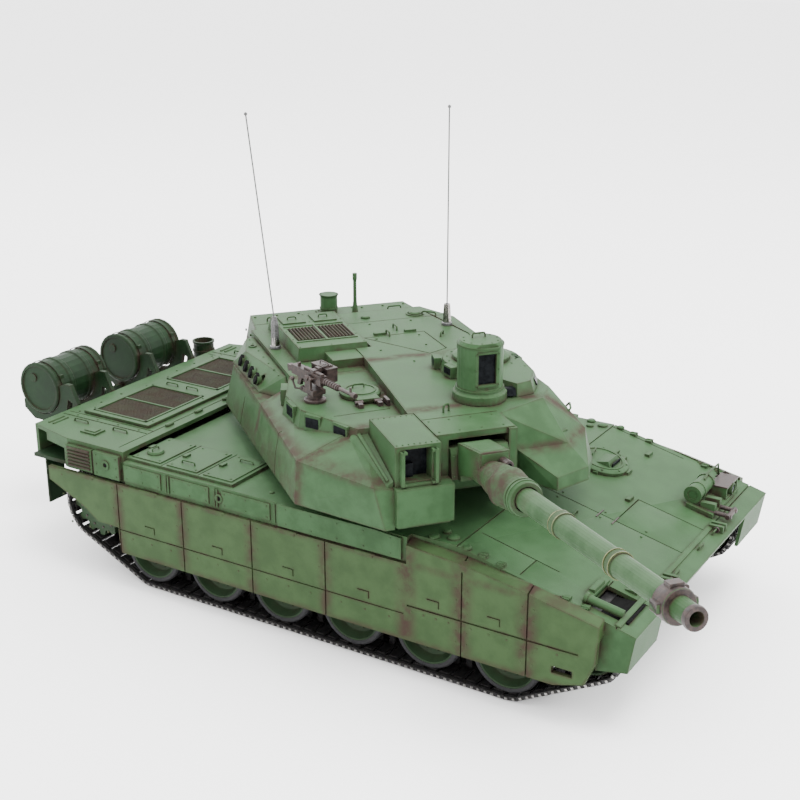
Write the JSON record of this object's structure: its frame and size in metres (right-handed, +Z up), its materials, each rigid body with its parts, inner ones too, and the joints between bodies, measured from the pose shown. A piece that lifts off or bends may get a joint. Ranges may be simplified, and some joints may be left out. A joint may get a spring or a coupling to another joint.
{
  "type": "rc tank",
  "caption": "Radio-controlled battle tank with a turning turret, elevating and recoiling gun, sprung road wheels, opening hatches, side skirts and rear fuel drums.",
  "frame": {"origin": "middle of the whole model's bounding box, on the ground under the tracks", "axes": "+Y towards the tank's rear along the hull, +X towards the tank's left, +Z up; the gun points forward and to the tank's right at rest"},
  "size_m": [0.3842, 0.5574, 0.2963],
  "materials": {
    "antenna_left_finish": "bright",
    "antenna_right_finish": "bright",
    "battery_pack_finish": "glossy",
    "commander_cupola_finish": "satin",
    "commander_hatch_finish": "satin",
    "commander_sight_finish": "satin",
    "control_board_finish": "satin",
    "drive_gearbox_finish": "satin",
    "driver_hatch_finish": "satin",
    "drum_rack_finish": "satin",
    "engine_deck_finish": "satin",
    "exhaust_cap_finish": "satin",
    "fuel_drum_left_finish": "satin",
    "fuel_drum_right_finish": "satin",
    "gun_barrel_finish": "satin",
    "gun_mantlet_finish": "satin",
    "gunner_hatch_finish": "satin",
    "gunner_sight_finish": "satin",
    "headlamp_cluster_finish": "satin",
    "idler_left_finish": "satin",
    "idler_right_finish": "satin",
    "lower_hull_finish": "satin",
    "machine_gun_finish": "satin",
    "mg_cradle_finish": "satin",
    "road_wheel_left_1_finish": "satin",
    "road_wheel_left_2_finish": "satin",
    "road_wheel_left_3_finish": "satin",
    "road_wheel_left_4_finish": "satin",
    "road_wheel_left_5_finish": "satin",
    "road_wheel_left_6_finish": "satin",
    "road_wheel_right_1_finish": "satin",
    "road_wheel_right_2_finish": "satin",
    "road_wheel_right_3_finish": "satin",
    "road_wheel_right_4_finish": "satin",
    "road_wheel_right_5_finish": "satin",
    "road_wheel_right_6_finish": "satin",
    "sensor_mast_finish": "satin",
    "side_skirt_left_finish": "satin",
    "side_skirt_right_finish": "satin",
    "smoke_launcher_left_finish": "satin",
    "smoke_launcher_right_finish": "satin",
    "sprocket_left_finish": "satin",
    "sprocket_right_finish": "satin",
    "swing_arm_left_1_finish": "satin",
    "swing_arm_left_2_finish": "satin",
    "swing_arm_left_3_finish": "satin",
    "swing_arm_left_4_finish": "satin",
    "swing_arm_left_5_finish": "satin",
    "swing_arm_left_6_finish": "satin",
    "swing_arm_right_1_finish": "satin",
    "swing_arm_right_2_finish": "satin",
    "swing_arm_right_3_finish": "satin",
    "swing_arm_right_4_finish": "satin",
    "swing_arm_right_5_finish": "satin",
    "swing_arm_right_6_finish": "satin",
    "track_belt_left_finish": "dull",
    "track_belt_right_finish": "dull",
    "turret_shell_finish": "satin",
    "upper_hull_finish": "satin",
    "vent_housing_finish": "satin"
  },
  "bodies": {
    "hull": {"lower_hull": "lower_hull_finish", "upper_hull": "upper_hull_finish", "side_skirt_right": "side_skirt_right_finish", "side_skirt_left": "side_skirt_left_finish", "engine_deck": "engine_deck_finish", "drum_rack": "drum_rack_finish", "fuel_drum_right": "fuel_drum_right_finish", "fuel_drum_left": "fuel_drum_left_finish", "exhaust_cap": "exhaust_cap_finish", "headlamp_cluster": "headlamp_cluster_finish", "battery_pack": "battery_pack_finish", "control_board": "control_board_finish", "drive_gearbox": "drive_gearbox_finish", "track_belt_right": "track_belt_right_finish", "track_belt_left": "track_belt_left_finish"},
    "turret": {"turret_shell": "turret_shell_finish", "gunner_sight": "gunner_sight_finish", "vent_housing": "vent_housing_finish", "smoke_launcher_right": "smoke_launcher_right_finish", "smoke_launcher_left": "smoke_launcher_left_finish", "antenna_right": "antenna_right_finish", "antenna_left": "antenna_left_finish", "sensor_mast": "sensor_mast_finish", "commander_cupola": "commander_cupola_finish"},
    "commander_hatch": {"commander_hatch": "commander_hatch_finish"},
    "commander_sight": {"commander_sight": "commander_sight_finish"},
    "gunner_hatch": {"gunner_hatch": "gunner_hatch_finish"},
    "driver_hatch": {"driver_hatch": "driver_hatch_finish"},
    "mg_cradle": {"mg_cradle": "mg_cradle_finish"},
    "machine_gun": {"machine_gun": "machine_gun_finish"},
    "gun_mantlet": {"gun_mantlet": "gun_mantlet_finish"},
    "gun_barrel": {"gun_barrel": "gun_barrel_finish"},
    "swing_arm_right_1": {"swing_arm_right_1": "swing_arm_right_1_finish"},
    "road_wheel_right_1": {"road_wheel_right_1": "road_wheel_right_1_finish"},
    "swing_arm_right_2": {"swing_arm_right_2": "swing_arm_right_2_finish"},
    "road_wheel_right_2": {"road_wheel_right_2": "road_wheel_right_2_finish"},
    "swing_arm_right_3": {"swing_arm_right_3": "swing_arm_right_3_finish"},
    "road_wheel_right_3": {"road_wheel_right_3": "road_wheel_right_3_finish"},
    "swing_arm_right_4": {"swing_arm_right_4": "swing_arm_right_4_finish"},
    "road_wheel_right_4": {"road_wheel_right_4": "road_wheel_right_4_finish"},
    "swing_arm_right_5": {"swing_arm_right_5": "swing_arm_right_5_finish"},
    "road_wheel_right_5": {"road_wheel_right_5": "road_wheel_right_5_finish"},
    "swing_arm_right_6": {"swing_arm_right_6": "swing_arm_right_6_finish"},
    "road_wheel_right_6": {"road_wheel_right_6": "road_wheel_right_6_finish"},
    "sprocket_right": {"sprocket_right": "sprocket_right_finish"},
    "idler_right": {"idler_right": "idler_right_finish"},
    "swing_arm_left_1": {"swing_arm_left_1": "swing_arm_left_1_finish"},
    "road_wheel_left_1": {"road_wheel_left_1": "road_wheel_left_1_finish"},
    "swing_arm_left_2": {"swing_arm_left_2": "swing_arm_left_2_finish"},
    "road_wheel_left_2": {"road_wheel_left_2": "road_wheel_left_2_finish"},
    "swing_arm_left_3": {"swing_arm_left_3": "swing_arm_left_3_finish"},
    "road_wheel_left_3": {"road_wheel_left_3": "road_wheel_left_3_finish"},
    "swing_arm_left_4": {"swing_arm_left_4": "swing_arm_left_4_finish"},
    "road_wheel_left_4": {"road_wheel_left_4": "road_wheel_left_4_finish"},
    "swing_arm_left_5": {"swing_arm_left_5": "swing_arm_left_5_finish"},
    "road_wheel_left_5": {"road_wheel_left_5": "road_wheel_left_5_finish"},
    "swing_arm_left_6": {"swing_arm_left_6": "swing_arm_left_6_finish"},
    "road_wheel_left_6": {"road_wheel_left_6": "road_wheel_left_6_finish"},
    "sprocket_left": {"sprocket_left": "sprocket_left_finish"},
    "idler_left": {"idler_left": "idler_left_finish"}
  },
  "joints": [
    {"name": "turret_traverse", "type": "hinge", "parent": "hull", "child": "turret", "pos_m": [0.04728, 0.01018, 0], "axis": [0, 0, 1], "continuous": true},
    {"name": "gun_elevation", "type": "hinge", "parent": "turret", "child": "gun_mantlet", "pos_m": [-0.01633, -0.06698, 0.1263], "axis": [-0.7716, 0.6361, 0], "range_deg": [-5, 7]},
    {"name": "gun_recoil", "type": "slide", "parent": "gun_mantlet", "child": "gun_barrel", "axis": [0.6326, 0.7674, -0.104], "range_m": [0, 0.008], "stiffness_N_per_m": 60, "springref_m": -0.01},
    {"name": "commander_sight_pan", "type": "hinge", "parent": "turret", "child": "commander_sight", "pos_m": [0.0125, -0.07131, 0], "axis": [0, 0, 1], "continuous": true},
    {"name": "commander_hatch_hinge", "type": "hinge", "parent": "turret", "child": "commander_hatch", "pos_m": [0.0726, -0.03143, 0.1564], "axis": [-0.7716, 0.6361, 0], "range_deg": [0, 80]},
    {"name": "gunner_hatch_hinge", "type": "hinge", "parent": "turret", "child": "gunner_hatch", "pos_m": [-0.01592, -0.01225, 0.143], "axis": [0.7716, -0.6361, 0], "range_deg": [0, 80]},
    {"name": "driver_hatch_swing", "type": "hinge", "parent": "hull", "child": "driver_hatch", "pos_m": [0.11678, -0.11482, 0.08512], "axis": [0, -0.2355, 0.9719], "range_deg": [0, 90]},
    {"name": "mg_traverse", "type": "hinge", "parent": "turret", "child": "mg_cradle", "pos_m": [-0.02869, 0.01707, 0], "axis": [0, 0, 1], "range_deg": [-35, 10]},
    {"name": "mg_elevation", "type": "hinge", "parent": "mg_cradle", "child": "machine_gun", "pos_m": [-0.02869, 0.01707, 0.156], "axis": [-0.9239, 0.3827, 0], "range_deg": [-8, 15]},
    {"name": "sprocket_spin_right", "type": "hinge", "parent": "hull", "child": "sprocket_right", "pos_m": [0.04728, 0.17318, 0.0475], "axis": [1, 0, 0], "continuous": true},
    {"name": "idler_spin_right", "type": "hinge", "parent": "hull", "child": "idler_right", "pos_m": [0.04728, -0.17682, 0.046], "axis": [1, 0, 0], "continuous": true},
    {"name": "suspension_right_1", "type": "hinge", "parent": "hull", "child": "swing_arm_right_1", "pos_m": [-0.02072, -0.14812, 0.0355], "axis": [1, 0, 0], "range_deg": [0, 12], "stiffness_Nm_per_rad": 0.5, "springref_deg": -11.46},
    {"name": "wheel_spin_right_1", "type": "hinge", "parent": "swing_arm_right_1", "child": "road_wheel_right_1", "pos_m": [-0.02072, -0.12812, 0.0255], "axis": [1, 0, 0], "continuous": true},
    {"name": "suspension_right_2", "type": "hinge", "parent": "hull", "child": "swing_arm_right_2", "pos_m": [-0.02072, -0.09752, 0.0355], "axis": [1, 0, 0], "range_deg": [0, 12], "stiffness_Nm_per_rad": 0.5, "springref_deg": -11.46},
    {"name": "wheel_spin_right_2", "type": "hinge", "parent": "swing_arm_right_2", "child": "road_wheel_right_2", "pos_m": [-0.02072, -0.07752, 0.0255], "axis": [1, 0, 0], "continuous": true},
    {"name": "suspension_right_3", "type": "hinge", "parent": "hull", "child": "swing_arm_right_3", "pos_m": [-0.02072, -0.04612, 0.0355], "axis": [1, 0, 0], "range_deg": [0, 12], "stiffness_Nm_per_rad": 0.5, "springref_deg": -11.46},
    {"name": "wheel_spin_right_3", "type": "hinge", "parent": "swing_arm_right_3", "child": "road_wheel_right_3", "pos_m": [-0.02072, -0.02612, 0.0255], "axis": [1, 0, 0], "continuous": true},
    {"name": "suspension_right_4", "type": "hinge", "parent": "hull", "child": "swing_arm_right_4", "pos_m": [-0.02072, 0.00568, 0.0355], "axis": [1, 0, 0], "range_deg": [0, 12], "stiffness_Nm_per_rad": 0.5, "springref_deg": -11.46},
    {"name": "wheel_spin_right_4", "type": "hinge", "parent": "swing_arm_right_4", "child": "road_wheel_right_4", "pos_m": [-0.02072, 0.02568, 0.0255], "axis": [1, 0, 0], "continuous": true},
    {"name": "suspension_right_5", "type": "hinge", "parent": "hull", "child": "swing_arm_right_5", "pos_m": [-0.02072, 0.05598, 0.0355], "axis": [1, 0, 0], "range_deg": [0, 12], "stiffness_Nm_per_rad": 0.5, "springref_deg": -11.46},
    {"name": "wheel_spin_right_5", "type": "hinge", "parent": "swing_arm_right_5", "child": "road_wheel_right_5", "pos_m": [-0.02072, 0.07598, 0.0255], "axis": [1, 0, 0], "continuous": true},
    {"name": "suspension_right_6", "type": "hinge", "parent": "hull", "child": "swing_arm_right_6", "pos_m": [-0.02072, 0.10768, 0.0355], "axis": [1, 0, 0], "range_deg": [0, 12], "stiffness_Nm_per_rad": 0.5, "springref_deg": -11.46},
    {"name": "wheel_spin_right_6", "type": "hinge", "parent": "swing_arm_right_6", "child": "road_wheel_right_6", "pos_m": [-0.02072, 0.12768, 0.0255], "axis": [1, 0, 0], "continuous": true},
    {"name": "sprocket_spin_left", "type": "hinge", "parent": "hull", "child": "sprocket_left", "pos_m": [0.04728, 0.17318, 0.0475], "axis": [1, 0, 0], "continuous": true},
    {"name": "idler_spin_left", "type": "hinge", "parent": "hull", "child": "idler_left", "pos_m": [0.04728, -0.17682, 0.046], "axis": [1, 0, 0], "continuous": true},
    {"name": "suspension_left_1", "type": "hinge", "parent": "hull", "child": "swing_arm_left_1", "pos_m": [0.11528, -0.14812, 0.0355], "axis": [1, 0, 0], "range_deg": [0, 12], "stiffness_Nm_per_rad": 0.5, "springref_deg": -11.46},
    {"name": "wheel_spin_left_1", "type": "hinge", "parent": "swing_arm_left_1", "child": "road_wheel_left_1", "pos_m": [0.11528, -0.12812, 0.0255], "axis": [1, 0, 0], "continuous": true},
    {"name": "suspension_left_2", "type": "hinge", "parent": "hull", "child": "swing_arm_left_2", "pos_m": [0.11528, -0.09752, 0.0355], "axis": [1, 0, 0], "range_deg": [0, 12], "stiffness_Nm_per_rad": 0.5, "springref_deg": -11.46},
    {"name": "wheel_spin_left_2", "type": "hinge", "parent": "swing_arm_left_2", "child": "road_wheel_left_2", "pos_m": [0.11528, -0.07752, 0.0255], "axis": [1, 0, 0], "continuous": true},
    {"name": "suspension_left_3", "type": "hinge", "parent": "hull", "child": "swing_arm_left_3", "pos_m": [0.11528, -0.04612, 0.0355], "axis": [1, 0, 0], "range_deg": [0, 12], "stiffness_Nm_per_rad": 0.5, "springref_deg": -11.46},
    {"name": "wheel_spin_left_3", "type": "hinge", "parent": "swing_arm_left_3", "child": "road_wheel_left_3", "pos_m": [0.11528, -0.02612, 0.0255], "axis": [1, 0, 0], "continuous": true},
    {"name": "suspension_left_4", "type": "hinge", "parent": "hull", "child": "swing_arm_left_4", "pos_m": [0.11528, 0.00568, 0.0355], "axis": [1, 0, 0], "range_deg": [0, 12], "stiffness_Nm_per_rad": 0.5, "springref_deg": -11.46},
    {"name": "wheel_spin_left_4", "type": "hinge", "parent": "swing_arm_left_4", "child": "road_wheel_left_4", "pos_m": [0.11528, 0.02568, 0.0255], "axis": [1, 0, 0], "continuous": true},
    {"name": "suspension_left_5", "type": "hinge", "parent": "hull", "child": "swing_arm_left_5", "pos_m": [0.11528, 0.05598, 0.0355], "axis": [1, 0, 0], "range_deg": [0, 12], "stiffness_Nm_per_rad": 0.5, "springref_deg": -11.46},
    {"name": "wheel_spin_left_5", "type": "hinge", "parent": "swing_arm_left_5", "child": "road_wheel_left_5", "pos_m": [0.11528, 0.07598, 0.0255], "axis": [1, 0, 0], "continuous": true},
    {"name": "suspension_left_6", "type": "hinge", "parent": "hull", "child": "swing_arm_left_6", "pos_m": [0.11528, 0.10768, 0.0355], "axis": [1, 0, 0], "range_deg": [0, 12], "stiffness_Nm_per_rad": 0.5, "springref_deg": -11.46},
    {"name": "wheel_spin_left_6", "type": "hinge", "parent": "swing_arm_left_6", "child": "road_wheel_left_6", "pos_m": [0.11528, 0.12768, 0.0255], "axis": [1, 0, 0], "continuous": true}
  ],
  "couplings": [
    {"joint": "idler_spin_right", "follows": "sprocket_spin_right", "ratio": 1.3274},
    {"joint": "wheel_spin_right_1", "follows": "sprocket_spin_right", "ratio": 1.0372},
    {"joint": "wheel_spin_right_2", "follows": "sprocket_spin_right", "ratio": 1.0372},
    {"joint": "wheel_spin_right_3", "follows": "sprocket_spin_right", "ratio": 1.0372},
    {"joint": "wheel_spin_right_4", "follows": "sprocket_spin_right", "ratio": 1.0372},
    {"joint": "wheel_spin_right_5", "follows": "sprocket_spin_right", "ratio": 1.0372},
    {"joint": "wheel_spin_right_6", "follows": "sprocket_spin_right", "ratio": 1.0372},
    {"joint": "idler_spin_left", "follows": "sprocket_spin_left", "ratio": 1.3274},
    {"joint": "wheel_spin_left_1", "follows": "sprocket_spin_left", "ratio": 1.0372},
    {"joint": "wheel_spin_left_2", "follows": "sprocket_spin_left", "ratio": 1.0372},
    {"joint": "wheel_spin_left_3", "follows": "sprocket_spin_left", "ratio": 1.0372},
    {"joint": "wheel_spin_left_4", "follows": "sprocket_spin_left", "ratio": 1.0372},
    {"joint": "wheel_spin_left_5", "follows": "sprocket_spin_left", "ratio": 1.0372},
    {"joint": "wheel_spin_left_6", "follows": "sprocket_spin_left", "ratio": 1.0372}
  ]
}
